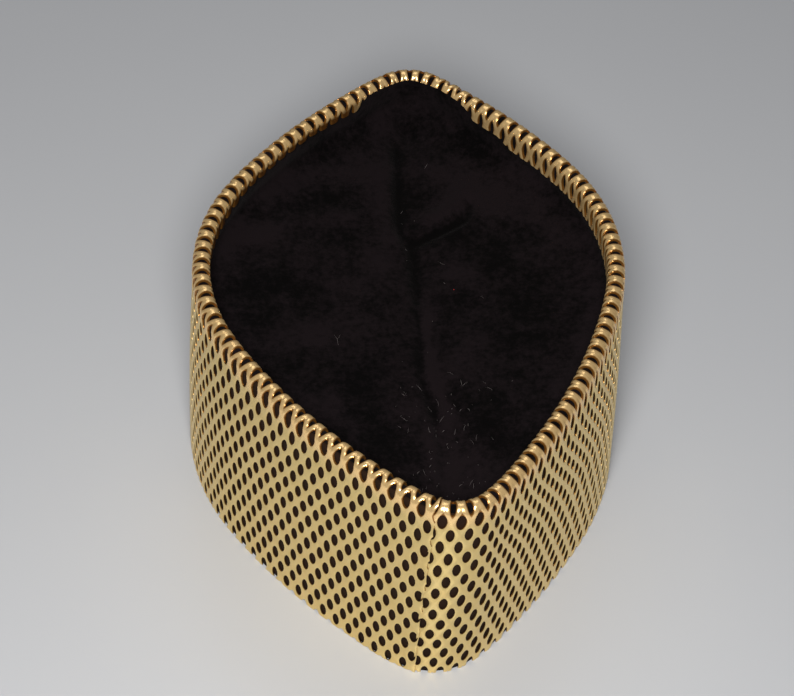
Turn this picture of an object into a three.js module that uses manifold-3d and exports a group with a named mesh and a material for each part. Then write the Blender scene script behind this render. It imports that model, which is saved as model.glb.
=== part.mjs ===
// Velvet cap: a tall soft cap with a lens-shaped plan, standing on its open bottom edge.
// Millimetres. +Z is up, +Y runs from the seamed nose to the far nose, and Z = 0 is the surface it stands on.
import * as THREE from "three";
import { mergeGeometries, mergeVertices } from "three/addons/utils/BufferGeometryUtils.js";
import Module from "manifold-3d";

// Outer size of the cap, over the gold net.
const capHeight = 97;
const rimHalfLength = 114;
const rimHalfWidth = 80;
const baseHalfLength = 110;
const baseHalfWidth = 82.5;

// Thickness of each layer, and the clearance between one layer and the next.
const netThickness = 1;
const wallThickness = 1.5;
const velvetThickness = 1.2;
const layerGap = 0.3;

// The net's inner lip, turned down into the cap. It is folded in deeper on the right than on the left, and it is
// cut away round the far nose, by these lengths along the rim to either side of the tip.
const lipDepthLeft = 7.5;
const lipDepthRight = 10.5;
const lipNotchLeft = 25;
const lipNotchRight = 37;
const seamWidth = 0.5;

// The crown panel: its flange runs on below the deeper side of the lip, bends inwards and sags to the middle.
const flangeBelowLip = 2.5;
const crownBend = 4;
const crownSag = 4;
const creaseDepth = 1.8;
const creaseWidth = 7;

// The net's openings. The real net has about fifteen rows of 100; here one opening stands for a patch of them.
const netColumns = 24;
const netRows = 5;
const openingWidthShare = 0.48;
const openingHeightShare = 0.44;
const openingSides = 6;
const firstColumn = 0.25; // of a column's pitch past the seam, so that the seam runs between openings

// The outline is four corner circles joined by four long flank arcs, anticlockwise from the seamed near nose.
// Each corner touches the side of the bounding rectangle that it faces. Its slide along that side and its radius
// are shares of the half length or half width that runs that way, and the flanks' radius is one of the half width.
const flankRadiusShare = 2.94;
const corners = [
  { name: "near", faces: [0, -1], rimSlide: 0.08, baseSlide: 0.04, rimRadius: 0.26, baseRadius: 0.3 },
  { name: "right", faces: [1, 0], rimSlide: 0.1, baseSlide: 0.02, rimRadius: 0.76, baseRadius: 0.8 },
  { name: "far", faces: [0, 1], rimSlide: 0.1, baseSlide: 0.05, rimRadius: 0.24, baseRadius: 0.24 },
  { name: "left", faces: [-1, 0], rimSlide: 0.05, baseSlide: 0.08, rimRadius: 0.71, baseRadius: 0.84 },
];

// Steps of the faceted surfaces.
const halfCornerSteps = 4;
const flankSteps = 4;
const foldSteps = 6;
const bendSteps = 3;
const crownRings = [0.84, 0.64, 0.42, 0.2];

const foldRadius = (3 * layerGap + wallThickness + velvetThickness + 2 * netThickness) / 2;
const foldBottom = capHeight - foldRadius;
const crownDepth = Math.max(lipDepthLeft, lipDepthRight) + flangeBelowLip + crownBend;
const wallInset = netThickness + layerGap;
const flangeInset = wallInset + wallThickness + layerGap;

// One outline, as arcs that follow each other round: half a corner, a flank and half the next corner, four times.
function outlineOf(halfLength, halfWidth, slideKey, radiusKey) {
  const circles = corners.map((corner) => {
    const [faceX, faceY] = corner.faces;
    const halfSide = faceX ? halfLength : halfWidth;
    const radius = corner[radiusKey] * halfSide;
    const slide = corner[slideKey] * halfSide;
    const x = faceX * (halfWidth - radius) + Math.abs(faceY) * slide;
    const y = faceY * (halfLength - radius) + Math.abs(faceX) * slide;
    return { centre: new THREE.Vector2(x, y), radius, facing: Math.atan2(faceY, faceX) };
  });
  return circles.flatMap((circle, i) => {
    const next = circles[(i + 1) % circles.length];
    const flank = flankBetween(circle, next, flankRadiusShare * halfWidth);
    const leave = circle.centre.clone().sub(flank.centre).angle();
    const meet = next.centre.clone().sub(flank.centre).angle();
    return [
      arcOf(circle, circle.facing, leave, halfCornerSteps),
      arcOf(flank, leave, meet, flankSteps),
      arcOf(next, meet, next.facing, halfCornerSteps),
    ];
  });
}

function arcOf({ centre, radius }, start, end, steps) {
  const turn = THREE.MathUtils.euclideanModulo(end - start, 2 * Math.PI);
  return { centre, radius, start, turn, steps, length: radius * turn };
}

// The large circle that touches two corner circles from outside, its centre on the far side of the cap.
function flankBetween(first, second, radius) {
  const line = second.centre.clone().sub(first.centre);
  const distance = line.length();
  const toFirst = radius - first.radius;
  const toSecond = radius - second.radius;
  const along = (toFirst ** 2 - toSecond ** 2 + distance ** 2) / (2 * distance);
  const aside = Math.sqrt(toFirst ** 2 - along ** 2);
  line.normalize();
  const inward = new THREE.Vector2(-line.y, line.x);
  const centre = first.centre.clone().addScaledVector(line, along).addScaledVector(inward, aside);
  return { centre, radius };
}

const rim = outlineOf(rimHalfLength, rimHalfWidth, "rimSlide", "rimRadius");
const base = outlineOf(baseHalfLength, baseHalfWidth, "baseSlide", "baseRadius");

// The half of an outline that holds a share: the right side from 0 to 0.5, then the left side back to 1.
function sideOf(arcs, share) {
  const half = arcs.length / 2;
  return share < 0.5 ? { side: arcs.slice(0, half), along: 2 * share } : { side: arcs.slice(half), along: 2 * share - 1 };
}

function lengthOf(arcs) {
  return arcs.reduce((sum, arc) => sum + arc.length, 0);
}

// The point of an outline at a share of the way round, moved in by the inset, and the way it faces there.
// Share 0 is the tip of the near nose and 0.5 is the tip of the far nose.
function outlinePoint(arcs, share, inset) {
  const { side, along } = sideOf(arcs, share);
  let left = along * lengthOf(side);
  const arc = side.find(({ length }) => left <= length || (left -= length) < 0) ?? side.at(-1);
  const angle = arc.start + Math.min(left, arc.length) / arc.radius;
  const facing = new THREE.Vector2(Math.cos(angle), Math.sin(angle));
  return { point: arc.centre.clone().addScaledVector(facing, arc.radius - inset), facing };
}

// The wall is ruled between points of equal share on the two outlines.
function wallPoint(share, inset, height) {
  const low = outlinePoint(base, share, inset).point;
  const high = outlinePoint(rim, share, inset).point;
  const flat = low.lerp(high, height / capHeight);
  return new THREE.Vector3(flat.x, flat.y, height);
}

// Shares of the stations round the cap: the ends and even steps of each arc of the rim.
function stationShares() {
  const half = rim.length / 2;
  return [0, half].flatMap((first) => {
    const side = rim.slice(first, first + half);
    const starts = side.map((arc, i) => lengthOf(side.slice(0, i)));
    const steps = side.flatMap((arc, i) => evenSteps(starts[i], arc.length, arc.steps));
    return steps.map((length) => (first / half + length / lengthOf(side)) / 2);
  });
}

function evenSteps(start, length, steps) {
  return Array.from({ length: steps }, (_, i) => start + (length * i) / steps);
}

// Joins rows of points into a closed surface. Each row is one loop of the section, and rows follow each other round.
function skin(rows, closed) {
  const count = rows[0].length;
  const points = rows.flat();
  const indices = [];
  const last = closed ? rows.length : rows.length - 1;
  for (let i = 0; i < last; i++) {
    const here = i * count;
    const there = ((i + 1) % rows.length) * count;
    for (let j = 0; j < count; j++) {
      const k = (j + 1) % count;
      indices.push(...quadOf(points, here + j, there + j, there + k, here + k));
    }
  }
  if (!closed) {
    capEnd(indices, 0, count, false);
    capEnd(indices, (rows.length - 1) * count, count, true);
  }
  return geometryOf(points, indices);
}

// Two triangles, split along the shorter diagonal, so that layers that lie side by side are split alike.
function quadOf(points, a, b, c, d) {
  const across = points[a].distanceTo(points[c]) < points[b].distanceTo(points[d]);
  return across ? [a, b, c, a, c, d] : [a, b, d, b, c, d];
}

// Closes the end of a ribbon whose section runs up one face and back down the other.
function capEnd(indices, first, count, flipped) {
  for (let j = 0; j < count / 2 - 1; j++) {
    const up = first + j;
    const back = first + count - 1 - j;
    const quad = [up, up + 1, back - 1, up, back - 1, back];
    indices.push(...(flipped ? quad.reverse() : quad));
  }
}

function geometryOf(points, indices) {
  const geometry = new THREE.BufferGeometry().setFromPoints(points);
  geometry.setIndex(indices);
  return geometry;
}

const wasm = await Module();
wasm.setup();

function solidOf(geometry) {
  const plain = geometry.clone();
  plain.deleteAttribute("normal");
  plain.deleteAttribute("uv");
  const merged = mergeVertices(plain, 1e-4);
  const vertProperties = merged.attributes.position.array;
  const triVerts = new Uint32Array(merged.index.array);
  return new wasm.Manifold(new wasm.Mesh({ numProp: 3, vertProperties, triVerts }));
}

function geometryFrom(solid) {
  const mesh = solid.getMesh();
  const geometry = new THREE.BufferGeometry();
  geometry.setAttribute("position", new THREE.BufferAttribute(mesh.vertProperties, 3));
  geometry.setIndex(new THREE.BufferAttribute(mesh.triVerts, 1));
  return geometry;
}

function meshOf(name, geometry, color, roughness, metalness) {
  const shaded = geometry.toNonIndexed();
  shaded.computeVertexNormals();
  const mesh = new THREE.Mesh(shaded, new THREE.MeshStandardMaterial({ color, roughness, metalness }));
  mesh.name = name;
  return mesh;
}

// Ends of the stretch round the far nose where the lip is cut away, as shares of the way round.
const notchStart = 0.5 - lipNotchRight / lengthOf(rim);
const notchEnd = 0.5 + lipNotchLeft / lengthOf(rim);

// Depth of the lip at a station: the left and right depths blend across the noses.
function lipDepth(share) {
  const rightness = (1 + outlinePoint(rim, share, 0).facing.x) / 2;
  const depth = THREE.MathUtils.lerp(lipDepthLeft, lipDepthRight, rightness);
  return share > notchStart && share < notchEnd ? foldRadius + netThickness : depth;
}

// The net's section: up the outside, over the rim in a half round, and down the inside as the lip.
function netSection(share) {
  const faces = [0, netThickness].map((offset) => {
    const points = [wallPoint(share, offset, 0)];
    for (let i = 0; i <= foldSteps; i++) {
      const angle = (Math.PI * i) / foldSteps;
      const reach = foldRadius - offset;
      const inset = foldRadius - reach * Math.cos(angle);
      points.push(wallPoint(share, inset, foldBottom + reach * Math.sin(angle)));
    }
    points.push(wallPoint(share, 2 * foldRadius - offset, capHeight - lipDepth(share)));
    return points;
  });
  return [...faces[0], ...faces[1].reverse()];
}

// One oval cutter through the net's outer face, square to the wall.
function openingCutter(share, row) {
  const height = (foldBottom * (row + 0.5)) / netRows;
  const { facing } = outlinePoint(rim, share, 0);
  const along = new THREE.Vector3(-facing.y, facing.x, 0);
  const up = wallPoint(share, 0, capHeight).sub(wallPoint(share, 0, 0)).normalize();
  const outward = new THREE.Vector3().crossVectors(along, up).normalize();
  up.crossVectors(outward, along);
  const cutter = new THREE.CylinderGeometry(0.5, 0.5, 2 * foldRadius, openingSides);
  const columnPitch = lengthOf(rim) / netColumns;
  const rowPitch = foldBottom / netRows;
  cutter.scale(columnPitch * openingWidthShare, 1, 2 * rowPitch * openingHeightShare);
  const place = new THREE.Matrix4().makeBasis(along, outward, up.negate());
  cutter.applyMatrix4(place.setPosition(wallPoint(share, foldRadius / 2, height)));
  return cutter;
}

// Gold net band: one perforated strip, bent round the cap, its ends meeting in a slit at the near nose.
function goldBand() {
  const slitShare = seamWidth / 2 / lengthOf(rim);
  const cutShare = 0.1 * slitShare;
  const notchShares = [notchStart, notchStart + cutShare, notchEnd - cutShare, notchEnd];
  const inner = stationShares().filter((share) => share > slitShare);
  const shares = [slitShare, ...inner, ...notchShares, 1 - slitShare].sort((a, b) => a - b);
  const strip = solidOf(skin(shares.map(netSection), false));
  const cutters = [];
  for (let row = 0; row < netRows; row++) {
    const stagger = row % 2 ? 0.5 : 0;
    for (let column = 0; column < netColumns; column++) {
      cutters.push(openingCutter((column + firstColumn + stagger) / netColumns, row));
    }
  }
  const pierced = strip.subtract(solidOf(mergeGeometries(cutters)));
  return meshOf("gold_band", geometryFrom(pierced), 0xc9b97a, 0.38, 0.85);
}

// Side wall: the stiff dark cloth tube behind the net, from the bottom edge up into the fold.
function sideWall() {
  const section = (share) => [
    wallPoint(share, wallInset, 0),
    wallPoint(share, wallInset, foldBottom),
    wallPoint(share, wallInset + wallThickness, foldBottom),
    wallPoint(share, wallInset + wallThickness, 0),
  ];
  return meshOf("side_wall", skin(stationShares().map(section), true), 0x141012, 0.95, 0);
}

// Crown panel: a velvet dish, its flange standing up behind the lip and its floor creased from nose to nose.
function crownPanel() {
  const innerInset = flangeInset + velvetThickness;
  const bendTop = capHeight - crownDepth + crownBend;
  const centre = wallPoint(0, 0, capHeight).lerp(wallPoint(0.5, 0, capHeight), 0.5);
  const section = (share) => {
    return [0, velvetThickness].map((offset) => {
      const points = [wallPoint(share, innerInset - offset, foldBottom)];
      for (let i = 0; i <= bendSteps; i++) {
        const angle = (Math.PI / 2) * (i / bendSteps);
        const reach = crownBend + offset;
        const inset = innerInset + crownBend - reach * Math.cos(angle);
        points.push(wallPoint(share, inset, bendTop - reach * Math.sin(angle)));
      }
      const edge = points.at(-1);
      for (const ring of crownRings) {
        const point = edge.clone().lerp(centre.clone().setZ(edge.z), 1 - ring);
        point.z -= floorDrop(ring, point.x - centre.x);
        points.push(point);
      }
      return points;
    });
  };
  return meshOf("crown_panel", dishSkin(stationShares().map(section), centre), 0x120d0f, 1, 0);
}

// How far the crown's floor lies below its edge: it sags towards the middle and drops into the crease.
function floorDrop(ring, aside) {
  const crease = creaseDepth * Math.exp(-Math.abs(aside) / creaseWidth) * (1 - ring ** 6);
  return crownSag * (1 - ring ** 2) + crease;
}

// Joins the two faces of the dish: both run from the flange's top edge to one middle point.
function dishSkin(sections, centre) {
  const count = sections[0][0].length;
  const around = sections.length;
  const points = sections.flatMap(([upper, lower]) => [...upper, ...lower]);
  const middleHeight = capHeight - crownDepth - floorDrop(0, 0);
  const upperMiddle = points.push(new THREE.Vector3(centre.x, centre.y, middleHeight)) - 1;
  const lowerMiddle = points.push(new THREE.Vector3(centre.x, centre.y, middleHeight - velvetThickness)) - 1;
  const indices = [];
  for (let i = 0; i < around; i++) {
    const here = i * 2 * count;
    const there = ((i + 1) % around) * 2 * count;
    for (let j = 0; j < count - 1; j++) {
      const upper = quadOf(points, here + j, there + j, there + j + 1, here + j + 1);
      const low = count + j;
      const lower = quadOf(points, here + low, here + low + 1, there + low + 1, there + low);
      indices.push(...upper, ...lower);
    }
    const lastUpper = count - 1;
    const lastLower = 2 * count - 1;
    indices.push(here + lastUpper, there + lastUpper, upperMiddle);
    indices.push(there + lastLower, here + lastLower, lowerMiddle);
    indices.push(there, here, here + count, there, here + count, there + count);
  }
  return geometryOf(points, indices);
}

const cap = new THREE.Group();
cap.name = "velvet_cap";
cap.add(goldBand(), sideWall(), crownPanel());

export default cap;
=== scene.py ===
"""A tall velvet cap in gold net, standing on its open bottom edge.

Lengths are in metres. +Z is up, +Y runs from the seamed near nose to the far nose, and Z = 0 is the table.
"""
import math
import random

import bmesh
import bpy
import numpy as np
from mathutils import Matrix, Vector, geometry
from mathutils.bvhtree import BVHTree


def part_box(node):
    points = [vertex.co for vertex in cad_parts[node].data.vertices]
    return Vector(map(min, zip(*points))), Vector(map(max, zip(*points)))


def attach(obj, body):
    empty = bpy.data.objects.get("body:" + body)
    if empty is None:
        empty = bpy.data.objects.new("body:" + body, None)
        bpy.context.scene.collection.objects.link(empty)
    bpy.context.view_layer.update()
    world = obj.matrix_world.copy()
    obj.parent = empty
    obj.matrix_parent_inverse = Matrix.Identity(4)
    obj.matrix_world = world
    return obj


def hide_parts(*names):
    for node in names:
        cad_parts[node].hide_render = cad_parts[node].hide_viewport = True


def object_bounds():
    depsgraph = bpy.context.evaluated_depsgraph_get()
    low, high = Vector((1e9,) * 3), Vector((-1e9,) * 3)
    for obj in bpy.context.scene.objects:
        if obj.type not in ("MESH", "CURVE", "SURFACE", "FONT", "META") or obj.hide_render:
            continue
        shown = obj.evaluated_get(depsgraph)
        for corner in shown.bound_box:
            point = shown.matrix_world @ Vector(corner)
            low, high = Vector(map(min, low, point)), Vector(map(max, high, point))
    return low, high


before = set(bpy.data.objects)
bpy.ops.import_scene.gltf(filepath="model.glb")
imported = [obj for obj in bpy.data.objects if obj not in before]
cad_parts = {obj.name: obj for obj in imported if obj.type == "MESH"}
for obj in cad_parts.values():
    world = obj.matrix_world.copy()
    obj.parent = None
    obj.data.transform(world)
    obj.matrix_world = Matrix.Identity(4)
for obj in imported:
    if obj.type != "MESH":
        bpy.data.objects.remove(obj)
cad_low, cad_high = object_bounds()


# Side wall: a tube of stiffened black cotton, cut as one straight strip and joined at the near nose.
# It carries the net outside it and the velvet inside it, and shows only through the net's openings
# and from below.
WALL_THICKNESS = 0.0015
WALL_LIFT = 0.0002
ROUND_BULGE = 0.0007
NOSE_BULGE = 0.0019
NOSE_BULGE_REACH = 0.016
FLANK_BULGE = 0.0006
WALL_STATIONS = 360
WALL_ROWS = 48
COTTON_BLACK = "#1A0D05"
COTTON_DUSTY = "#2E1B0B"
COTTON_THREAD = 0.0005
COTTON_RELIEF = 0.0002
DUST_PATCH = 0.0111
OUTLINE_STEP = 0.0005
OUTLINE_SAMPLES = 2001

# Blender's wave texture repeats over this length at scale 1.
WAVE_REPEAT = 2 * math.pi / 20


def ring_of(node, height):
    """The outer ring of a node's corners at one height, from the near tip round by the right side."""
    corners = {(round(v.co.x, 6), round(v.co.y, 6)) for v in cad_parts[node].data.vertices
               if abs(v.co.z - height) < 1e-4}
    corners = [Vector(corner) for corner in corners]
    ring = np.array([corners[i] for i in geometry.convex_hull_2d(corners)])
    if np.cross(ring[1] - ring[0], ring[2] - ring[1]) < 0:
        ring = ring[::-1]
    return np.roll(ring, -int(np.argmin(ring[:, 1])), axis=0)


def smooth_curve(knots, values, closed=False):
    """A function that runs smoothly through values at rising knots. If closed, knots run from 0 to 1."""
    knots, values = np.asarray(knots, float), np.asarray(values, float)
    step = np.diff(knots)
    slope = np.diff(values, axis=0) / step[:, None]
    if closed:
        before, before_step = np.roll(slope, 1, axis=0), np.roll(step, 1)
        tangent = (slope * before_step[:, None] + before * step[:, None]) / (step + before_step)[:, None]
        tangent = np.vstack([tangent, tangent[:1]])
    else:
        middle = slope[1:] * step[:-1, None] + slope[:-1] * step[1:, None]
        tangent = np.vstack([slope[:1], middle / (step[1:] + step[:-1])[:, None], slope[-1:]])

    def at(place):
        place = np.mod(place, 1.0) if closed else np.clip(place, knots[0], knots[-1])
        i = np.clip(np.searchsorted(knots, place, side="right") - 1, 0, len(step) - 1)
        h, t = step[i][:, None], ((place - knots[i]) / step[i])[:, None]
        start, end = values[i], values[i + 1]
        rise, fall = tangent[i] * h, tangent[i + 1] * h
        return (start * (2 * t**3 - 3 * t**2 + 1) + rise * (t**3 - 2 * t**2 + t)
                + end * (3 * t**2 - 2 * t**3) + fall * (t**3 - t**2))

    return at


def smooth_outline(ring):
    """A function from share of the way round to points on a smooth closed line through the ring.

    Share 0 is the near tip and 0.5 the far tip. Lengths are measured along each side by itself.
    """
    far = int(np.argmax(ring[:, 1]))
    closed = np.vstack([ring, ring[:1]])
    travelled = np.concatenate([[0], np.cumsum(np.linalg.norm(np.diff(closed, axis=0), axis=1))])
    right, whole = travelled[far], travelled[-1]
    knots = np.where(travelled <= right, travelled / right, 1 + (travelled - right) / (whole - right)) / 2
    return smooth_curve(knots, closed, closed=True)


wall_low, wall_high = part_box("side_wall")
cap_height = cad_high.z
wall_top = wall_high.z
base_outline = smooth_outline(ring_of("side_wall", wall_low.z))
top_outline = smooth_outline(ring_of("side_wall", wall_top))


def outward_of(outline, share):
    """The level direction that an outline faces at each share."""
    ahead, behind = outline(share + OUTLINE_STEP), outline(share - OUTLINE_STEP)
    along = (ahead - behind) / np.linalg.norm(ahead - behind, axis=1)[:, None]
    return np.stack([along[:, 1], -along[:, 0]], axis=1)


def round_length(outline):
    points = outline(np.linspace(0, 1, OUTLINE_SAMPLES))
    return float(np.linalg.norm(np.diff(points, axis=0), axis=1).sum())


rim_length = round_length(top_outline)


def bulge(share, height):
    """How far the soft cap bows out: most at half height, and more at the two noses than on the flanks."""
    bow = np.sin(np.pi * np.clip(height / cap_height, 0, 1))
    near = np.minimum(share, 1 - share) * rim_length / NOSE_BULGE_REACH
    far = np.abs(share - 0.5) * rim_length / NOSE_BULGE_REACH
    nose = np.exp(-near**2) + np.exp(-far**2)
    flank = np.sin(4 * np.pi * share) ** 2
    return bow * (ROUND_BULGE + NOSE_BULGE * nose + FLANK_BULGE * flank)


def wall_point(share, outward, height):
    """Points that lie outward of the side wall's outer face, at a share of the way round and a height."""
    share = np.mod(np.asarray(share, float), 1.0)
    outward, height = np.broadcast_to(outward, share.shape), np.broadcast_to(height, share.shape)
    out = (outward + bulge(share, height))[:, None]
    low = base_outline(share) + out * outward_of(base_outline, share)
    high = top_outline(share) + out * outward_of(top_outline, share)
    up = (height / wall_top)[:, None]
    return np.column_stack([low * (1 - up) + high * up, height])


def keep_lay(mesh, lay):
    """Keeps where each point lay on the flat cloth, as the attribute named lay."""
    kept = mesh.attributes.new("lay", "FLOAT_VECTOR", "POINT")
    kept.data.foreach_set("vector", np.asarray(lay, np.float32).ravel())


def add_object(name, data):
    holder = bpy.data.objects.new(name, data)
    bpy.context.scene.collection.objects.link(holder)
    return holder


def piece_from(name, points, faces, lay=None):
    """A new smooth-shaded object. For cloth, lay is where each point lay on the flat cloth."""
    mesh = bpy.data.meshes.new(name)
    mesh.from_pydata(np.asarray(points).tolist(), [], faces)
    mesh.validate()
    if lay is not None:
        keep_lay(mesh, lay)
    mesh.shade_smooth()
    return add_object(name, mesh)


def grid_faces(rows, columns, closed):
    """Quads over rows of points, each row a ring if closed."""
    faces = []
    for i in range(rows - 1):
        for j in range(columns if closed else columns - 1):
            k = (j + 1) % columns
            faces.append((i * columns + j, i * columns + k, (i + 1) * columns + k, (i + 1) * columns + j))
    return faces


def linear(colour):
    """An sRGB hex colour as linear RGBA."""
    parts = [int(colour[i:i + 2], 16) / 255 for i in (1, 3, 5)]
    return [c / 12.92 if c <= 0.04045 else ((c + 0.055) / 1.055) ** 2.4 for c in parts] + [1.0]


def add_node(material, kind, settings=None, links=None):
    """Adds a node. Settings are its own values, and links are its sockets' values or sources."""
    node = material.node_tree.nodes.new(kind)
    for name, value in (settings or {}).items():
        setattr(node, name, value)
    for name, value in (links or {}).items():
        socket = node.inputs[name]
        if isinstance(value, bpy.types.NodeSocket):
            material.node_tree.links.new(value, socket)
        else:
            socket.default_value = value
    return node


def blank_material(name):
    material = bpy.data.materials.new(name)
    material.use_nodes = True
    material.node_tree.nodes.clear()
    return material


def stiffened_black_cotton():
    """Plain-woven cotton with a starched filler: dull, slightly brown where dust lies on the threads."""
    material = blank_material("stiffened_black_cotton")
    lay = add_node(material, "ShaderNodeAttribute", {"attribute_name": "lay"}).outputs["Vector"]
    across, along = [add_node(material, "ShaderNodeTexWave", {"bands_direction": way},
                              {"Vector": lay, "Scale": WAVE_REPEAT / COTTON_THREAD, "Distortion": 0.4,
                               "Detail": 1.0}) for way in "XY"]
    weave = add_node(material, "ShaderNodeMath", {"operation": "MULTIPLY"},
                     {0: across.outputs["Fac"], 1: along.outputs["Fac"]})
    dust = add_node(material, "ShaderNodeTexNoise", None,
                    {"Vector": lay, "Scale": 1 / DUST_PATCH, "Detail": 4.0})
    colour = add_node(material, "ShaderNodeMix", {"data_type": "RGBA"},
                      {0: dust.outputs["Fac"], 6: linear(COTTON_BLACK), 7: linear(COTTON_DUSTY)})
    bump = add_node(material, "ShaderNodeBump", None,
                    {"Strength": 0.5, "Distance": COTTON_RELIEF, "Height": weave.outputs[0]})
    shader = add_node(material, "ShaderNodeBsdfPrincipled", None,
                      {"Base Color": colour.outputs[2], "Roughness": 0.92, "Specular IOR Level": 0.2,
                       "Normal": bump.outputs["Normal"]})
    add_node(material, "ShaderNodeOutputMaterial", None, {"Surface": shader.outputs["BSDF"]})
    return material


def side_wall():
    share = np.arange(WALL_STATIONS) / WALL_STATIONS
    heights = np.linspace(WALL_LIFT, wall_top, WALL_ROWS)
    outer = [wall_point(share, 0.0, z) for z in heights]
    inner = [wall_point(share, -WALL_THICKNESS, z) for z in heights[::-1]]
    points = np.concatenate(outer + inner)
    turned = np.concatenate([heights, 2 * wall_top - heights[::-1] + WALL_THICKNESS])
    lay = [np.column_stack([share * rim_length, np.full(len(share), up), np.zeros(len(share))])
           for up in turned]
    faces = grid_faces(2 * WALL_ROWS + 1, WALL_STATIONS, True)
    faces = [[corner % len(points) for corner in face] for face in faces]
    piece = piece_from("side_wall_cloth", points, faces, np.concatenate(lay))
    piece.data.materials.append(stiffened_black_cotton())
    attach(piece, "root")
    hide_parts("side_wall")
    return piece


side_wall()


# Crown panel: black cotton velvet, pile side up. Its edge stands inside the wall as a flange, wraps over
# the wall's top and is sewn there under the net. It sags between the flanks, creases from nose to nose
# where the cap folds flat, and its pile is brushed in patches. Its folds carry painted shade, darker in
# their grooves, and painted light, lighter on their banks and ridges, along with some rubbed pile.
VELVET_THICKNESS = 0.0012

# The arc in which the velvet wraps over the wall's top: how far inside the wall's face its axis lies, its
# radius, and the angle in degrees above level at which it starts on the outer side.
WRAP_INSET = 0.0021
WRAP_RADIUS = 0.00212
WRAP_START = 30
WRAP_ROWS = 10

CROWN_DEPTH = 0.017
CROWN_BEND = 0.004
CROWN_SAG = 0.004
CREASE_DEPTH = 0.0018
CREASE_WIDTH = 0.007
CROWN_STATIONS = 288
FLANGE_ROWS = 8
BEND_ROWS = 8
FLOOR_ROWS = 56
SPINE_SHARE = 0.9
FLOOR_WAVE = 0.0007
FLOOR_WAVE_LENGTH = 0.045
FOLD_END_FADE = 0.12
VELVET_DARK = "#030202"
# The pale end of the pile: worn nap, and painted light on the folds' banks and ridges.
VELVET_WORN_AND_LIT = "#161012"
VELVET_SHEEN = "#C8C0C0"
PILE_LENGTH = 0.0006

# Sizes of the brushed patches and of the tufts in them, how far the patches stand up, how much the tufts
# and the folds' painted shade and light, with their rubbed pile, add to the patches, and the sum up to
# which the pile stays at its darkest.
NAP_PATCH = 0.0238
NAP_TUFT = 0.00238
NAP_RELIEF = 0.002
TUFT_SHARE = 0.60
SHADING_AND_RUB_SHARE = 0.28
NAP_DARK_BELOW = 0.63

# Folds in the crown: where each runs, in the cap's own metres, how deep it is, how wide, and how far it
# is painted lighter (1) or darker (-1). Darker is painted shade in a groove; lighter is painted light on a
# bank or ridge, where the pile is also rubbed. A negative depth is a ridge.
CROWN_FOLDS = [
    {"name": "groove",
     "path": [(0.003, 0.092), (0.002, 0.076), (0.000, 0.046), (0.004, 0.033), (0.004, 0.008)],
     "depth": 0.0020, "width": 0.0024, "shading_and_rub": -0.7},
    {"name": "groove's bank", "path": [(-0.003, 0.100), (-0.003, 0.080), (-0.005, 0.060), (-0.004, 0.044)],
     "depth": -0.0006, "width": 0.0044, "shading_and_rub": 0.7},
    {"name": "crease front", "path": [(0.004, 0.008), (0.002, -0.031), (0.006, -0.064), (0.004, -0.088)],
     "depth": 0.0012, "width": 0.0020, "shading_and_rub": -0.6},
    {"name": "crease's bank", "path": [(0.007, 0.014), (0.005, -0.010), (0.006, -0.034), (0.010, -0.052)],
     "depth": -0.0008, "width": 0.0024, "shading_and_rub": 0.9},
    {"name": "front rub", "path": [(0.001, -0.045), (0.005, -0.070), (0.004, -0.098)],
     "depth": -0.0003, "width": 0.0075, "shading_and_rub": 0.45},
    {"name": "fold", "path": [(0.006, 0.038), (0.016, 0.043), (0.025, 0.048), (0.029, 0.056)],
     "depth": 0.0022, "width": 0.0020, "shading_and_rub": -0.8},
    {"name": "fold's lip", "path": [(0.010, 0.049), (0.022, 0.055), (0.027, 0.064)],
     "depth": -0.0014, "width": 0.0036, "shading_and_rub": 0.7},
    {"name": "left ridge", "path": [(-0.070, 0.034), (-0.045, 0.046), (-0.032, 0.050), (-0.010, 0.054)],
     "depth": -0.0010, "width": 0.0050, "shading_and_rub": 0.65},
    {"name": "far left ridge", "path": [(-0.050, 0.062), (-0.034, 0.072), (-0.014, 0.078)],
     "depth": -0.0008, "width": 0.0080, "shading_and_rub": 0.5},
    {"name": "far right rub", "path": [(0.010, 0.086), (0.020, 0.072), (0.032, 0.066)],
     "depth": -0.0006, "width": 0.0085, "shading_and_rub": 0.5},
    {"name": "right ridge", "path": [(0.031, 0.060), (0.040, 0.050), (0.052, 0.044), (0.066, 0.034)],
     "depth": -0.0009, "width": 0.0055, "shading_and_rub": 0.5},
    {"name": "left edge", "path": [(-0.072, 0.012), (-0.068, -0.020), (-0.056, -0.050)],
     "depth": 0.0, "width": 0.0060, "shading_and_rub": 0.35},
    {"name": "right edge", "path": [(0.071, 0.010), (0.068, -0.016), (0.058, -0.042)],
     "depth": 0.0, "width": 0.0070, "shading_and_rub": 0.35},
]

flange_face = -(WRAP_INSET + WRAP_RADIUS)
bend_top = cap_height - CROWN_DEPTH + CROWN_BEND


def distance_to_path(x, y, path):
    """How far each point lies from a path of straight legs, and how far along it, as a share."""
    best, place = np.full(x.shape, 1e9), np.zeros(x.shape)
    legs = list(zip(path[:-1], path[1:]))
    for i, ((ax, ay), (bx, by)) in enumerate(legs):
        dx, dy = bx - ax, by - ay
        along = np.clip(((x - ax) * dx + (y - ay) * dy) / (dx * dx + dy * dy), 0, 1)
        gap = np.hypot(x - ax - along * dx, y - ay - along * dy)
        nearer = gap < best
        best = np.where(nearer, gap, best)
        place = np.where(nearer, (i + along) / len(legs), place)
    return best, place


def fold_sum(x, y, what):
    """The folds' depth or rub at each point. Each fold fades out at its two ends."""
    total = np.zeros(x.shape)
    for fold in CROWN_FOLDS:
        gap, place = distance_to_path(x, y, fold["path"])
        fade = np.sin(np.pi * np.clip(FOLD_END_FADE + (1 - 2 * FOLD_END_FADE) * place, 0, 1)) ** 0.5
        total += fold[what] * fade * np.exp(-((gap / fold["width"]) ** 2))
    return total


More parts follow.
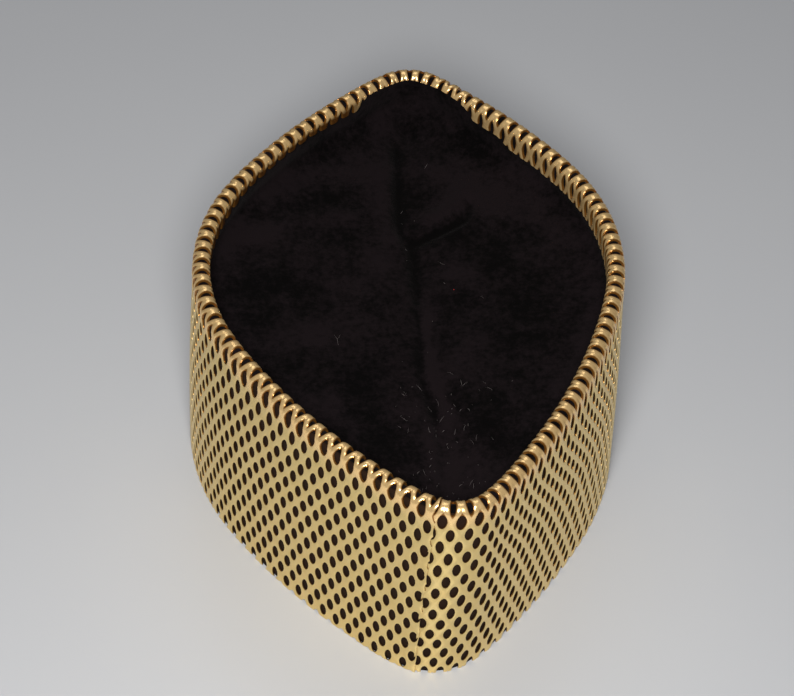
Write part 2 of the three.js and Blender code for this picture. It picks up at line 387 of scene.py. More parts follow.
def slow_waves(x, y, length, seed):
    """Gentle uneven waves between -1 and 1, about length apart."""
    turn = random.Random(seed)
    total = np.zeros(x.shape)
    for _ in range(5):
        angle, phase = turn.uniform(0, math.pi), turn.uniform(0, 2 * math.pi)
        pitch = length * turn.uniform(0.7, 1.5)
        total += np.sin(2 * math.pi * (x * math.cos(angle) + y * math.sin(angle)) / pitch + phase)
    return total / 5


def brushed_black_velvet():
    """Cotton velvet: a dense upright pile that looks black face on and catches grey light at its edges.

    Its single fibres are too fine to show, so they are drawn as tufts one pile length wide. A point
    attribute carries the folds' painted shade, darker in their grooves, and painted light, lighter on their
    banks and ridges, where the pile is also rubbed.
    """
    material = blank_material("brushed_black_velvet")
    lay = add_node(material, "ShaderNodeAttribute", {"attribute_name": "lay"}).outputs["Vector"]
    shading_and_rub = add_node(material, "ShaderNodeAttribute", {"attribute_name": "shading_and_rub"}).outputs["Fac"]
    patches = add_node(material, "ShaderNodeTexNoise", None,
                       {"Vector": lay, "Scale": 1 / NAP_PATCH, "Detail": 6.0, "Roughness": 0.66,
                        "Distortion": 0.15})
    tufts = add_node(material, "ShaderNodeTexNoise", None,
                     {"Vector": lay, "Scale": 1 / NAP_TUFT, "Detail": 3.0, "Roughness": 0.7})
    mottled = add_node(material, "ShaderNodeMath", {"operation": "MULTIPLY_ADD"},
                       {0: tufts.outputs["Fac"], 1: TUFT_SHARE, 2: patches.outputs["Fac"]})
    shading = add_node(material, "ShaderNodeMath", {"operation": "MULTIPLY_ADD"},
                      {0: shading_and_rub, 1: SHADING_AND_RUB_SHARE, 2: mottled.outputs[0]})
    nap = add_node(material, "ShaderNodeValToRGB", None, {"Fac": shading.outputs[0]})
    nap.color_ramp.interpolation = "EASE"
    nap.color_ramp.elements[0].position = NAP_DARK_BELOW
    nap.color_ramp.elements[0].color = linear(VELVET_DARK)
    nap.color_ramp.elements[1].color = linear(VELVET_WORN_AND_LIT)
    pile = add_node(material, "ShaderNodeTexNoise", None,
                    {"Vector": lay, "Scale": 1 / PILE_LENGTH, "Detail": 3.0, "Roughness": 0.7})
    lean = add_node(material, "ShaderNodeBump", None,
                    {"Strength": 0.5, "Distance": NAP_RELIEF, "Height": patches.outputs["Fac"]})
    bump = add_node(material, "ShaderNodeBump", None,
                    {"Strength": 0.7, "Distance": PILE_LENGTH / 2, "Height": pile.outputs["Fac"],
                     "Normal": lean.outputs["Normal"]})
    shader = add_node(material, "ShaderNodeBsdfPrincipled", None,
                      {"Base Color": nap.outputs["Color"], "Roughness": 1.0, "Specular IOR Level": 0.08,
                       "Sheen Weight": 0.04, "Sheen Roughness": 0.40, "Sheen Tint": linear(VELVET_SHEEN),
                       "Normal": bump.outputs["Normal"]})
    add_node(material, "ShaderNodeOutputMaterial", None, {"Surface": shader.outputs["BSDF"]})
    return material


def edge_rows(share):
    """Rows of the panel's edge: over the wall's top, down inside it as the flange, and round the bend."""
    rows = []
    for angle in np.radians(np.linspace(WRAP_START, 180, WRAP_ROWS, endpoint=False)):
        rows.append(wall_point(share, WRAP_RADIUS * math.cos(angle) - WRAP_INSET,
                               wall_top + WRAP_RADIUS * math.sin(angle)))
    rows += [wall_point(share, flange_face, z) for z in np.linspace(wall_top, bend_top, FLANGE_ROWS)]
    for angle in np.linspace(0, math.pi / 2, BEND_ROWS + 1)[1:]:
        rows.append(wall_point(share, flange_face - CROWN_BEND * (1 - math.cos(angle)),
                               bend_top - CROWN_BEND * math.sin(angle)))
    return rows


def crown_rows(share):
    """All rows of the panel. The floor closes in on a spine from nose to nose, sags and creases there."""
    edge = edge_rows(share)
    tips = wall_point(np.array([0.0, 0.5]), flange_face, wall_top)
    along = (1 - np.cos(2 * np.pi * share)) / 2
    spine = tips[0] + (tips[1] - tips[0]) * (0.5 + SPINE_SHARE * (along - 0.5))[:, None]
    spine[:, 2] = edge[-1][:, 2]
    rings = np.linspace(1, 0, FLOOR_ROWS + 1)[1:]
    rows = np.array(edge + [edge[-1] * ring + spine * (1 - ring) for ring in rings])
    x, y = rows[:, :, 0], rows[:, :, 1]
    ring = np.concatenate([np.ones(len(edge)), rings])[:, None]
    crease = np.exp(-np.abs(x - spine[:, 0].mean()) / CREASE_WIDTH)
    waves = FLOOR_WAVE * slow_waves(x, y, FLOOR_WAVE_LENGTH, seed=3)
    drop = CROWN_SAG * (1 - ring**2) + CREASE_DEPTH * crease * (1 - ring**6)
    rows[:, :, 2] -= drop + (fold_sum(x, y, "depth") + waves) * (1 - ring**3)
    return rows


def turn_pile_up(mesh):
    """Drops corners that no face uses, and turns the faces so that the pile is on top."""
    panel = bmesh.new()
    panel.from_mesh(mesh)
    bmesh.ops.delete(panel, geom=[v for v in panel.verts if not v.link_faces], context="VERTS")
    bmesh.ops.recalc_face_normals(panel, faces=panel.faces)
    panel.faces.ensure_lookup_table()
    if max(panel.faces, key=lambda face: face.calc_area()).normal.z < 0:
        bmesh.ops.reverse_faces(panel, faces=panel.faces)
    panel.to_mesh(mesh)
    panel.free()
    mesh.shade_smooth()


def crown_panel():
    rows = crown_rows((np.arange(CROWN_STATIONS) + 0.5) / CROWN_STATIONS)
    points = rows.reshape(-1, 3)
    last = len(points) - CROWN_STATIONS
    right_half = range(CROWN_STATIONS // 2, CROWN_STATIONS)
    merged = {last + j: last + CROWN_STATIONS - 1 - j for j in right_half}
    faces = grid_faces(len(rows), CROWN_STATIONS, True)
    faces = [[merged.get(corner, corner) for corner in face][::-1] for face in faces]
    # The pile's pattern takes its place from the panel as it hangs, which is nearly how it lay flat.
    piece = piece_from("crown_velvet", points, faces, points)
    # The folds' painted shade and light, with their rubbed pile, as a point attribute: darker in the
    # grooves, lighter on the banks and ridges.
    shading_and_rub = piece.data.attributes.new("shading_and_rub", "FLOAT", "POINT")
    shading = fold_sum(rows[:, :, 0], rows[:, :, 1], "shading_and_rub")
    shading_and_rub.data.foreach_set("value", shading.astype(np.float32).ravel())
    turn_pile_up(piece.data)
    solidify = piece.modifiers.new("cloth_thickness", "SOLIDIFY")
    solidify.thickness = VELVET_THICKNESS
    solidify.offset = -1
    piece.data.materials.append(brushed_black_velvet())
    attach(piece, "root")
    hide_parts("crown_panel")
    return piece


crown = crown_panel()


# Lint: short pale fibres shed from other cloth that cling to the pile, thickest where the crown is handled
# near the front, with one forked fibre on the left and one red speck on the right.
LINT_FORK = [[(-0.0290, -0.0105), (-0.0278, -0.0128), (-0.0276, -0.0160)],
             [(-0.0262, -0.0100), (-0.0270, -0.0118), (-0.0278, -0.0128)]]
RED_SPECK = (0.0178, 0.0117)
SPECK_RADIUS = 0.0002
SPECK_RED = "#C42A2A"
LINT_PALE = "#7C7472"
LINT_COUNT = 110
LINT_RADIUS = 0.00005
LINT_RADIUS_VARIES = (0.6, 1.3)
LINT_LENGTHS = [0.0004, 0.0006, 0.0009, 0.0016, 0.0030]
LINT_LEGS = 3
LINT_HEADING = (0.7, 2.4)
LINT_CURL = 0.8

# Where the fibres lie: their middle and spread across the cap, the two stretches along it, and the share
# of them that lies in the near one.
LINT_ACROSS = (0.005, 0.010)
LINT_NEAR = (-0.096, -0.035)
LINT_FAR = (-0.035, 0.080)
LINT_NEAR_SHARE = 0.85


def shed_fibre(name, colour):
    """Loose dyed or raw cotton: a dull, slightly see-through fibre that only just shows on the pile."""
    material = blank_material(name)
    shader = add_node(material, "ShaderNodeBsdfPrincipled", None,
                      {"Base Color": linear(colour), "Roughness": 0.8, "Alpha": 0.9})
    add_node(material, "ShaderNodeOutputMaterial", None, {"Surface": shader.outputs["BSDF"]})
    return material


def on_crown(surface, x, y):
    """A point just above the crown's pile."""
    hit = surface.ray_cast(Vector((x, y, 1)), Vector((0, 0, -1)))[0]
    return hit + Vector((0, 0, LINT_RADIUS))


def fibre_tube(points, radius, first):
    """Corners and faces of a three-sided tube along a fibre, pinched at both ends."""
    corners, faces = [], []
    for i, point in enumerate(points):
        ahead = points[min(i + 1, len(points) - 1)] - points[max(i - 1, 0)]
        side = ahead.cross(Vector((0, 0, 1))).normalized()
        thick = radius * (0.4 if i in (0, len(points) - 1) else 1)
        for turn in range(3):
            angle = 2 * math.pi * turn / 3
            corners.append(point + side * thick * math.cos(angle) + Vector((0, 0, thick * math.sin(angle))))
    for i in range(len(points) - 1):
        for turn in range(3):
            a, b = 3 * i + turn, 3 * i + (turn + 1) % 3
            faces.append((first + a, first + b, first + b + 3, first + a + 3))
    last = first + 3 * (len(points) - 1)
    return corners, faces + [(first + 2, first + 1, first), (last, last + 1, last + 2)]


def lint():
    surface = BVHTree.FromObject(crown, bpy.context.evaluated_depsgraph_get())
    turn = random.Random(8)
    corners, faces = [], []
    paths = [[on_crown(surface, x, y) for x, y in path] for path in LINT_FORK]
    while len(paths) < LINT_COUNT:
        y = turn.uniform(*(LINT_NEAR if turn.random() < LINT_NEAR_SHARE else LINT_FAR))
        x = turn.gauss(*LINT_ACROSS)
        heading, curl = turn.uniform(*LINT_HEADING), turn.uniform(-LINT_CURL, LINT_CURL)
        leg = turn.choice(LINT_LENGTHS) / LINT_LEGS
        path = []
        for _ in range(LINT_LEGS + 1):
            path.append(on_crown(surface, x, y))
            x += leg * math.cos(heading)
            y += leg * math.sin(heading)
            heading += curl / LINT_LEGS
        paths.append(path)
    for path in paths:
        made, sides = fibre_tube(path, LINT_RADIUS * turn.uniform(*LINT_RADIUS_VARIES), len(corners))
        corners += made
        faces += sides
    piece = piece_from("velvet_lint", [tuple(c) for c in corners], faces)
    piece.data.materials.append(shed_fibre("pale_cotton_lint", LINT_PALE))
    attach(piece, "root")
    speck_x, speck_y = RED_SPECK
    dot = [on_crown(surface, speck_x + aside, speck_y) for aside in (-SPECK_RADIUS, 0.0, SPECK_RADIUS)]
    made, sides = fibre_tube(dot, SPECK_RADIUS, 0)
    speck = piece_from("red_speck", [tuple(c) for c in made], sides)
    speck.data.materials.append(shed_fibre("red_cotton_lint", SPECK_RED))
    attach(speck, "root")


lint()


# Gold net: foil-faced polyester net, punched with oval openings in staggered rows. One strip is bent
# round the wall, folded over the rim and turned down inside as a raw-cut lip. Its two ends overlap at
# the near nose.
NET_GAP = 0.0003

# The fold: its radius over the straps, how far its axis lies inside the wall's face, how far the straps
# dome, from and to how far below the fold they swell out, and how far below it the net is stretched.
FOLD_RADIUS = 0.0034
FOLD_INSET = 0.0021
FOLD_DOME = 0.00040
FOLD_SWELL_FROM = 0.010
FOLD_SWELL_TO = 0.001
STRETCH_REACH = 0.008

# Levels of the strip's face above its back: at an opening's cut edge, on its shoulder, and on the crown
# of a strap. The shoulder lies at a share of the way from the edge to the crown.
NET_EDGE = 0.00044
NET_SHOULDER = 0.00060
NET_CROWN = 0.00068
SHOULDER_SHARE = 0.34
SHARP_ANGLE = 55

# Openings are ovals with slightly pointed ends: a power of 2 would be an ellipse. Half widths are in half
# columns, at distances up the strip from where the fold starts, and half heights are in rows.
OPENING_WIDTHS = [(-0.008, 0.495), (-0.002, 0.55), (0.003, 0.36)]
OPENING_HALF_HEIGHT = 0.52
OPENING_POWER = 1.85
WIDTH_VARIES = 0.04
HEIGHT_VARIES = 0.03
WALL_STEPS = 3
FOLD_STEPS = 5
LAST_HALF_COLUMN = 199
LAST_ROW = 17
LIP_ROW_PITCH = 0.0074

# Unevenness of the net as it is stretched round, and of its cut lip and seam: a wave's height and length.
NET_SWAY = (0.00018, 0.017)
NET_LIFT = (0.00022, 0.021)
LIP_WAVE = (0.00035, 0.013)
SEAM_WAVE = (0.0005, 0.012)

# The seam: how far round from the near tip it lies, how far the ends overlap, how far the upper end
# stands up and over what length it rises.
SEAM_PLACE = -0.0074
SEAM_OVERLAP = 0.0009
SEAM_RAISE = 0.0006
SEAM_RAMP = 0.006

# Foil: sizes of its patches and of its grain, which is drawn coarser than the real one so that it shows,
# and its metallic and roughness values on the wall and on the fold.
FOIL_PATCH = 0.00625
FOIL_GRAIN = 0.000909
FOIL_RELIEF = 0.00014
FOIL_METALLIC = (0.93, 0.62)
FOIL_ROUGHNESS = (0.37, 0.24)
GOLD_FOIL = "#FCE3A0"
GOLD_DULL = "#E9C97F"
# Foil colour over the fold: stretched foil, and painted light for its brightly lit straps.
GOLD_STRETCHED_AND_LIT = "#FFD796"
# Brown of the net's cut edges, which also stands in for shade in the holes, and painted shade up the
# straps' slopes over the fold.
CUT_BROWN_AND_SHADE = "#94632A"
CUT_FADE = (0.75, 1.05)

# The lower end of the lip on the left is painted brown, as shade where it hangs against the dark velvet:
# how far up the strip, and how far round the rim.
GOLD_LIP_SHADE = "#7A4E22"
LIP_SHADE_FROM = 0.1035
LIP_SHADE_FADE = (0.001, 0.003)
LIP_SHADE_RAGGED = 0.004
LIP_SHADE_ROUND = 0.325
LIP_SHADE_ROUND_FADE = 0.01

# How the net's openings lie. Half columns are counted round from the seam; wall and rim are the distance
# round the cap from the near tip at half height and on the rim, and the rows are distances up the strip.
# NET_ROWS lists the rows again. They are wider apart on the fold, where the net is stretched.
NET_STATIONS = [
    # half column, wall, rim, row 0, row 7, row 12, row 13, row 14, row 15
    (-3, -0.0155, -0.0170, 0.0077, 0.0515, 0.0839, 0.0905, 0.0985, 0.1060),
    (0, -0.0070, -0.0082, 0.0077, 0.0519, 0.0842, 0.0907, 0.0985, 0.1060),
    (3, 0.0015, 0.0008, 0.0075, 0.0535, 0.0846, 0.0910, 0.0985, 0.1060),
    (6, 0.0103, 0.0102, 0.0079, 0.0550, 0.0844, 0.0908, 0.0985, 0.1060),
    (9, 0.0200, 0.0185, 0.0071, 0.0543, 0.0824, 0.0902, 0.0980, 0.1060),
    (15, 0.0395, 0.0358, 0.0078, 0.0531, 0.0818, 0.0898, 0.0976, 0.1057),
    (21, 0.0585, 0.0545, 0.0075, 0.0531, 0.0816, 0.0898, 0.0975, 0.1055),
    (27, 0.0787, 0.0728, 0.0057, 0.0522, 0.0814, 0.0898, 0.0977, 0.1055),
    (33, 0.0968, 0.0905, 0.0053, 0.0515, 0.0813, 0.0898, 0.0980, 0.1057),
    (53, 0.1550, 0.1495, 0.0053, 0.0515, 0.0815, 0.0903, 0.0986, 0.1060),
    (77, 0.2250, 0.2213, 0.0050, 0.0515, 0.0820, 0.0910, 0.0996, 0.1063),
    (89, 0.2597, 0.2583, 0.0050, 0.0510, 0.0815, 0.0902, 0.0990, 0.1060),
    (97, 0.2830, 0.2804, 0.0045, 0.0500, 0.0795, 0.0862, 0.0934, 0.1004),
    (114, 0.3320, 0.3281, 0.0040, 0.0490, 0.0790, 0.0857, 0.0930, 0.1000),
    (138, 0.4005, 0.3993, 0.0040, 0.0490, 0.0790, 0.0857, 0.0930, 0.1000),
    (159, 0.4598, 0.4604, 0.0038, 0.0485, 0.0787, 0.0850, 0.0924, 0.0998),
    (168, 0.4857, 0.4880, 0.0028, 0.0469, 0.0779, 0.0843, 0.0920, 0.1000),
    (174, 0.5046, 0.5068, 0.0026, 0.0480, 0.0784, 0.0848, 0.0928, 0.1010),
    (180, 0.5239, 0.5248, 0.0049, 0.0500, 0.0800, 0.0862, 0.0934, 0.1010),
    (186, 0.5429, 0.5428, 0.0044, 0.0505, 0.0806, 0.0868, 0.0938, 0.1010),
    (192, 0.5612, 0.5608, 0.0038, 0.0492, 0.0808, 0.0872, 0.0944, 0.1010),
    (198, 0.5794, 0.5788, 0.0037, 0.0490, 0.0804, 0.0870, 0.0940, 0.1005),
    (202, 0.5915, 0.5910, 0.0037, 0.0490, 0.0804, 0.0870, 0.0940, 0.1005),
]
NET_ROWS = (0, 7, 12, 13, 14, 15)

# Heights between which the columns pass from their places at half height to their places on the rim.
RIM_BLEND = (0.045, 0.098)

# Where the lip is cut off: how far round the rim, and how far up the strip.
LIP_ENDS = [
    (-0.020, 0.1110), (0.236, 0.1110), (0.243, 0.1083), (0.256, 0.1083), (0.261, 0.1040),
    (0.266, 0.1027), (0.315, 0.1027), (0.320, 0.1075), (0.333, 0.1070), (0.344, 0.1062),
    (0.385, 0.1068), (0.400, 0.1095), (0.610, 0.1110),
]

net_stations = np.array(NET_STATIONS)
station_at = smooth_curve(net_stations[:, 0], net_stations[:, 1:])
width_places, half_widths = zip(*OPENING_WIDTHS)
net_length = rim_length + 2 * math.pi * (FOLD_RADIUS - FOLD_INSET)
fold_path = FOLD_RADIUS - NET_CROWN / 2
fold_start = wall_top
fold_end = fold_start + math.pi * fold_path


def smooth_step(value, start, end):
    """0 up to start, 1 from end on, and an even rise between them."""
    t = np.clip((value - start) / (end - start), 0, 1)
    return t * t * (3 - 2 * t)


def strip_place(half_column, row):
    """Distance round the rim and distance up the strip, for places counted in half columns and rows."""
    half_column, row = np.atleast_1d(half_column).astype(float), np.atleast_1d(row).astype(float)
    station = station_at(half_column)
    wall, rim, heights = station[:, 0], station[:, 1], station[:, 2:]
    step = np.clip(np.searchsorted(NET_ROWS, row, side="right") - 1, 0, len(NET_ROWS) - 2)
    low, high = np.array(NET_ROWS)[step], np.array(NET_ROWS)[step + 1]
    every = np.arange(len(row))
    pitch = (heights[every, step + 1] - heights[every, step]) / (high - low)
    up = heights[every, step] + pitch * (row - low)
    up = np.where(row > NET_ROWS[-1], heights[:, -1] + LIP_ROW_PITCH * (row - NET_ROWS[-1]), up)
    round_place = wall + (rim - wall) * smooth_step(up, *RIM_BLEND)
    sway = NET_SWAY[0] * slow_waves(wall, up, NET_SWAY[1], seed=11)
    lift = NET_LIFT[0] * slow_waves(wall, up, NET_LIFT[1], seed=12)
    return round_place + sway, up + lift


def lip_end(place):
    """Where the lip is cut off, as a distance up the strip, with a slightly uneven hand-cut line."""
    ends = np.array(LIP_ENDS)
    place = np.asarray(place, float)
    wave = LIP_WAVE[0] * slow_waves(place, place * 0, LIP_WAVE[1], seed=21)
    return np.interp(place, ends[:, 0], ends[:, 1]) + wave


def seam_wave(up):
    """How far the hand-cut end of the strip wanders off its straight line."""
    up = np.asarray(up, float)
    return SEAM_WAVE[0] * slow_waves(up, up * 0, SEAM_WAVE[1], seed=31)


def bend_net(flat):
    """Bends the flat strip round the cap: x runs round the rim, y up the strip and z is its thickness."""
    x, y, lift = flat[:, 0], flat[:, 1], flat[:, 2]
    on_fold = smooth_step(y, fold_start - FOLD_SWELL_FROM, fold_start - FOLD_SWELL_TO)
    domed = lift * (1 + FOLD_DOME / NET_CROWN * on_fold)
    raised = SEAM_RAISE * smooth_step(x, net_length + SEAM_PLACE - SEAM_RAMP, net_length + SEAM_PLACE)
    inner_radius = FOLD_RADIUS - NET_CROWN - FOLD_DOME
    angle = np.clip((y - fold_start) / fold_path, 0, math.pi)
    reach = inner_radius + domed + raised
    swell = (inner_radius - FOLD_INSET - NET_GAP) * on_fold
    outward = np.where(y < fold_start, NET_GAP + swell + domed + raised, reach * np.cos(angle) - FOLD_INSET)
    height = np.where(y < fold_start, y, wall_top + reach * np.sin(angle))
    height = np.where(y > fold_end, wall_top - (y - fold_end), height)
    return wall_point(x / net_length, outward, height)


def opening_point(angle, half_width, half_height):
    """A point on an opening's edge, in half columns and rows from its middle."""
    c, s = math.cos(angle), math.sin(angle)
    power = 2 / OPENING_POWER
    return math.copysign(abs(c) ** power, c) * half_width, math.copysign(abs(s) ** power, s) * half_height


# Tips of the rhombus round an opening, in half columns and rows from its middle, and the fineness to
# which corners are told apart.
RHOMBUS_TIPS = [(1, 0), (0, 1), (-1, 0), (0, -1)]
KEY_STEPS = 7200


def key_of(place):
    return round(place[0] * KEY_STEPS), round(place[1] * KEY_STEPS)


def opening_side(column, row, side, steps, half_width, half_height):
    """One of the four sides of an opening's rhombus, and the shoulder and cut edge that face it."""
    (ax, ay), (bx, by) = RHOMBUS_TIPS[side], RHOMBUS_TIPS[(side + 1) % 4]
    outer, shoulder, edge = [], [], []
    for i in range(steps + 1):
        t = i / steps
        hole = opening_point((side + t) * math.pi / 2, half_width, half_height)
        rim = (ax + (bx - ax) * t, ay + (by - ay) * t)
        outer.append((column + rim[0], row + rim[1]))
        edge.append((column + hole[0], row + hole[1]))
        shoulder.append(tuple(p + SHOULDER_SHARE * (q - p) for p, q in zip(edge[-1], outer[-1])))
    return outer, shoulder, edge


def net_mesh():
    """The flat perforated strip, closed all round, as corners in half columns, rows and level.

    Each opening is the middle of one rhombus, and its neighbours share the rhombus's four sides. Levels
    run from the back, 0, by the opening's edge, 1, and the shoulder, 2, up to the crown, 3.
    """
    corners, index, faces, used = [], {}, [], {}
    turn = random.Random(5)

    def corner(place, level):
        key = (key_of(place), level)
        if key not in index:
            index[key] = len(corners)
            corners.append((place[0], place[1], level))
        return index[key]

    spots = [(column, row) for column in range(-1, LAST_HALF_COLUMN + 2) for row in range(-1, LAST_ROW + 1)
             if (column + row) % 2 == 0]
    for column, row in spots:
        place, up = strip_place([column, column, column], [row - 1, row, row + 1])
        if up[0] > lip_end(place[1]) or up[2] < WALL_LIFT:
            continue
        steps = FOLD_STEPS if up[1] > fold_start - STRETCH_REACH else WALL_STEPS
        half_width = np.interp(up[1] - fold_start, width_places, half_widths)
        half_width *= 1 + turn.uniform(-WIDTH_VARIES, WIDTH_VARIES)
        half_height = OPENING_HALF_HEIGHT * (1 + turn.uniform(-HEIGHT_VARIES, HEIGHT_VARIES))
        for side in range(4):
            outer, shoulder, edge = opening_side(column, row, side, steps, half_width, half_height)
            rings = [(outer, 3), (shoulder, 2), (edge, 1), (edge, 0), (outer, 0)]
            for i in range(steps):
                for (near, level), (far, far_level) in zip(rings[:-1], rings[1:]):
                    faces.append([corner(near[i], level), corner(near[i + 1], level),
                                  corner(far[i + 1], far_level), corner(far[i], far_level)])
                side_key = tuple(sorted(key_of(point) for point in outer[i:i + 2]))
                used.setdefault(side_key, []).append((outer[i], outer[i + 1]))
    for sides in used.values():
        if len(sides) == 1:
            a, b = sides[0]
            faces.append([corner(b, 3), corner(a, 3), corner(a, 0), corner(b, 0)])
    return corners, faces


def gold_foil_net():
    """Polyester net faced with gold foil, a satin metal.

    Over the fold the foil is pulled taut, so it is glossier there, and stretched thin, so it is less
    metallic;
    its warmer colour there is stretched foil and painted light, for the brightly lit straps. The brown net
    shows on the cut edges of the openings, where it also stands in for shade in the holes, and over the
    fold it runs up the straps' slopes as painted shade. The lower end of the lip on the left is painted
    brown as shade.
    """
    material = blank_material("gold_foil_net")
    lay = add_node(material, "ShaderNodeAttribute", {"attribute_name": "lay"}).outputs["Vector"]
    patches = add_node(material, "ShaderNodeTexNoise", None,
                       {"Vector": lay, "Scale": 1 / FOIL_PATCH, "Detail": 3.0})
    colour = add_node(material, "ShaderNodeMix", {"data_type": "RGBA"},
                      {0: patches.outputs["Fac"], 6: linear(GOLD_DULL), 7: linear(GOLD_FOIL)})
    place = add_node(material, "ShaderNodeSeparateXYZ", None, {"Vector": lay})
    # The lower end of the lip on the left, painted brown as shade.
    ragged = add_node(material, "ShaderNodeMath", {"operation": "MULTIPLY_ADD"},
                      {0: patches.outputs["Fac"], 1: LIP_SHADE_RAGGED, 2: place.outputs["Y"]})
    shading = add_node(material, "ShaderNodeMapRange", {"interpolation_type": "SMOOTHSTEP"},
                      {"Value": ragged.outputs[0], "From Min": LIP_SHADE_FROM + LIP_SHADE_FADE[0],
                       "From Max": LIP_SHADE_FROM + LIP_SHADE_FADE[1]})
    on_left = add_node(material, "ShaderNodeMapRange", None,
                       {"Value": place.outputs["X"], "From Min": LIP_SHADE_ROUND - LIP_SHADE_ROUND_FADE,
                        "From Max": LIP_SHADE_ROUND})
    lip_shade_left = add_node(material, "ShaderNodeMath", {"operation": "MULTIPLY"},
                           {0: shading.outputs["Result"], 1: on_left.outputs["Result"]})
    fold_mask = add_node(material, "ShaderNodeMapRange", {"interpolation_type": "SMOOTHSTEP"},
                         {"Value": place.outputs["Y"], "From Min": fold_start - STRETCH_REACH,
                          "From Max": fold_start})
    warm = add_node(material, "ShaderNodeMix", {"data_type": "RGBA"},
                    {0: fold_mask.outputs["Result"], 6: colour.outputs[2], 7: linear(GOLD_STRETCHED_AND_LIT)})
    lip_shaded = add_node(material, "ShaderNodeMix", {"data_type": "RGBA"},
                    {0: lip_shade_left.outputs[0], 6: warm.outputs[2], 7: linear(GOLD_LIP_SHADE)})
    # Over the fold the brown runs up the straps' slopes to the shoulder: painted shade.
    shade_level = add_node(material, "ShaderNodeMath", {"operation": "MULTIPLY_ADD"},
                     {0: fold_mask.outputs["Result"], 1: NET_EDGE - NET_SHOULDER, 2: place.outputs["Z"]})
    above_brown = add_node(material, "ShaderNodeMapRange", {"interpolation_type": "SMOOTHSTEP"},
                         {"Value": shade_level.outputs[0], "From Min": NET_EDGE * CUT_FADE[0],
                          "From Max": NET_EDGE * CUT_FADE[1]})
    face = add_node(material, "ShaderNodeMix", {"data_type": "RGBA"},
                    {0: above_brown.outputs["Result"], 6: linear(CUT_BROWN_AND_SHADE), 7: lip_shaded.outputs[2]})
    grain = add_node(material, "ShaderNodeTexNoise", None,
                     {"Vector": lay, "Scale": 1 / FOIL_GRAIN, "Detail": 3.0})
    bump = add_node(material, "ShaderNodeBump", None,
                    {"Strength": 0.6, "Distance": FOIL_RELIEF, "Height": grain.outputs["Fac"]})
    metallic, roughness = [add_node(material, "ShaderNodeMapRange", None,
                                    {"Value": fold_mask.outputs["Result"], "To Min": wall, "To Max": fold})
                           for wall, fold in (FOIL_METALLIC, FOIL_ROUGHNESS)]
    shader = add_node(material, "ShaderNodeBsdfPrincipled", None,
                      {"Base Color": face.outputs[2], "Metallic": metallic.outputs["Result"],
                       "Roughness": roughness.outputs["Result"], "Normal": bump.outputs["Normal"]})
    add_node(material, "ShaderNodeOutputMaterial", None, {"Surface": shader.outputs["BSDF"]})
    return material


def trim(strip, place, side, shift):
    """Cuts the flat strip off beyond a plane and closes the cut, after each corner is moved by shift."""
    for vertex in strip.verts:
        vertex.co += shift(vertex.co)
    everything = strip.verts[:] + strip.edges[:] + strip.faces[:]
    cut = bmesh.ops.bisect_plane(strip, geom=everything, plane_co=place, plane_no=side,
                                 clear_outer=True, dist=1e-7)
    rims = [e for e in cut["geom_cut"] if isinstance(e, bmesh.types.BMEdge) and e.is_boundary]
    bmesh.ops.edgeloop_fill(strip, edges=rims)


def gold_net():
    corners, faces = net_mesh()
    level = np.array([0.0, NET_EDGE, NET_SHOULDER, NET_CROWN])
    made = np.array(corners)
    place, up = strip_place(made[:, 0], made[:, 1])
    flat = np.column_stack([place, up, level[made[:, 2].astype(int)]])
    strip = bmesh.new()
    points = [strip.verts.new(point) for point in flat]
    for face in faces:
        strip.faces.new([points[i] for i in face])
    start, end = SEAM_PLACE - SEAM_OVERLAP, net_length + SEAM_PLACE
    trim(strip, (0, WALL_LIFT, 0), (0, -1, 0), lambda co: Vector())
    trim(strip, (start, 0, 0), (-1, 0, 0), lambda co: Vector())
    trim(strip, (end, 0, 0), (1, 0, 0), lambda co: Vector((float(seam_wave(co.y)), 0, 0)))
    for vertex in strip.verts:
        vertex.co.x -= float(seam_wave(vertex.co.y))
    trim(strip, (0, 0, 0), (0, 1, 0), lambda co: Vector((0, -float(lip_end(co.x)), 0)))
    for vertex in strip.verts:
        vertex.co.y += float(lip_end(vertex.co.x))
    bmesh.ops.recalc_face_normals(strip, faces=strip.faces)
    flat = np.array([v.co for v in strip.verts])
    for vertex, point in zip(strip.verts, bend_net(flat)):
        vertex.co = point
    mesh = bpy.data.meshes.new("gold_net")
    strip.to_mesh(mesh)
    strip.free()
    keep_lay(mesh, flat)
    mesh.shade_smooth()
    mesh.set_sharp_from_angle(angle=math.radians(SHARP_ANGLE))
    mesh.materials.append(gold_foil_net())
    piece = add_object("gold_net", mesh)
    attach(piece, "root")
    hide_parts("gold_band")
    return piece


gold_net()


# Studio: a pale painted table top, one soft lamp beside the camera and a wide, dim one above and behind
# the cap. The paint has a low shine that mirrors the foot of the net faintly.
TABLE_SIZE = 8.0
TABLE_GREY = "#C6C8CB"
TABLE_GREY_DARK = "#C2C4C8"
TABLE_MOTTLE = 0.167
WORLD_GREY = "#C8CBD0"
WORLD_STRENGTH = 0.10
LAMP_TARGET = (0, 0, 0.05)
LAMPS = [
    {"name": "key_lamp", "place": (-0.12, -0.66, 0.80), "size": 0.32, "power": 10.8, "colour": "#FFFDFB"},
    {"name": "top_lamp", "place": (0.0, 0.60, 1.30), "size": 0.8, "power": 2.1, "colour": "#FFFFFF"},
]


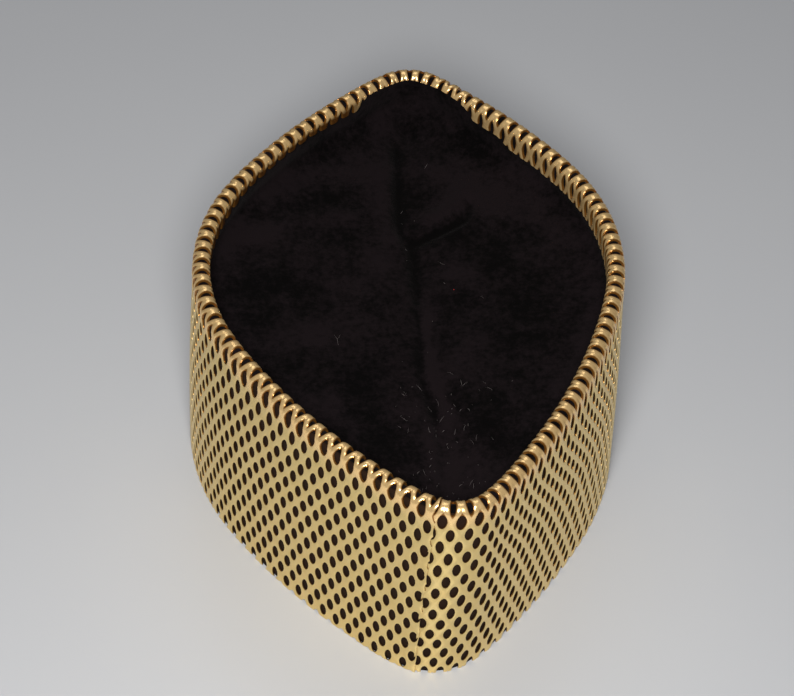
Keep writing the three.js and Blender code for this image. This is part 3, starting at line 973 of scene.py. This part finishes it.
def satin_table_top():
    """Painted board: pale grey, faintly mottled, with a soft low shine."""
    material = blank_material("satin_table_top")
    place = add_node(material, "ShaderNodeTexCoord").outputs["Object"]
    mottle = add_node(material, "ShaderNodeTexNoise", None,
                      {"Vector": place, "Scale": 1 / TABLE_MOTTLE, "Detail": 3.0})
    colour = add_node(material, "ShaderNodeMix", {"data_type": "RGBA"},
                      {0: mottle.outputs["Fac"], 6: linear(TABLE_GREY_DARK), 7: linear(TABLE_GREY)})
    shader = add_node(material, "ShaderNodeBsdfPrincipled", None,
                      {"Base Color": colour.outputs[2], "Roughness": 0.30, "Specular IOR Level": 0.35})
    add_node(material, "ShaderNodeOutputMaterial", None, {"Surface": shader.outputs["BSDF"]})
    return material


def table_top():
    half = TABLE_SIZE / 2
    points = [(-half, -half, 0), (half, -half, 0), (half, half, 0), (-half, half, 0)]
    piece = piece_from("table_top", points, [(0, 1, 2, 3)])
    piece.data.materials.append(satin_table_top())


def studio_light():
    world = bpy.data.worlds.new("studio")
    world.use_nodes = True
    background = world.node_tree.nodes["Background"]
    background.inputs["Color"].default_value = linear(WORLD_GREY)
    background.inputs["Strength"].default_value = WORLD_STRENGTH
    bpy.context.scene.world = world
    for row in LAMPS:
        lamp = bpy.data.lights.new(row["name"], "AREA")
        lamp.shape = "DISK"
        lamp.size = row["size"]
        lamp.energy = row["power"]
        lamp.color = linear(row["colour"])[:3]
        holder = add_object(row["name"], lamp)
        holder.location = row["place"]
        aim = Vector(LAMP_TARGET) - Vector(row["place"])
        holder.rotation_euler = aim.to_track_quat("-Z", "Y").to_euler()


table_top()
studio_light()
bpy.context.scene.view_settings.view_transform = "Standard"


# Camera: the photograph's own viewing angle, worked out from the cap's outline in it. Values that end
# in PX are in the photograph's pixels, and angles are in degrees.
FRAME_WIDTH_PX = 794
FOCAL_PX = 2713.9
SHIFT_RIGHT_PX = 8.92
SHIFT_DOWN_PX = 21.25
SENSOR_WIDTH_MM = 36
CAMERA_DISTANCE = 1.032
CAMERA_ELEVATION = 47.387
CAMERA_AZIMUTH = -7.571
CAMERA_ROLL = 3.517
CAMERA_TARGET = (0, 0, 0.045)


def photo_camera():
    lens = bpy.data.cameras.new("photo_camera")
    lens.sensor_fit = "HORIZONTAL"
    lens.sensor_width = SENSOR_WIDTH_MM
    lens.lens = FOCAL_PX * SENSOR_WIDTH_MM / FRAME_WIDTH_PX
    lens.shift_x = -SHIFT_RIGHT_PX / FRAME_WIDTH_PX
    lens.shift_y = SHIFT_DOWN_PX / FRAME_WIDTH_PX
    turn, rise, roll = (math.radians(a) for a in (CAMERA_AZIMUTH, CAMERA_ELEVATION, CAMERA_ROLL))
    back = Vector((math.sin(turn) * math.cos(rise), -math.cos(turn) * math.cos(rise), math.sin(rise)))
    right = Vector((0, 0, 1)).cross(back).normalized()
    up = back.cross(right)
    side = right * math.cos(roll) + up * math.sin(roll)
    top = up * math.cos(roll) - right * math.sin(roll)
    holder = add_object("photo_camera", lens)
    holder.matrix_world = (Matrix.Translation(Vector(CAMERA_TARGET) + back * CAMERA_DISTANCE)
                           @ Matrix((side, top, back)).transposed().to_4x4())
    bpy.context.scene.camera = holder


photo_camera()
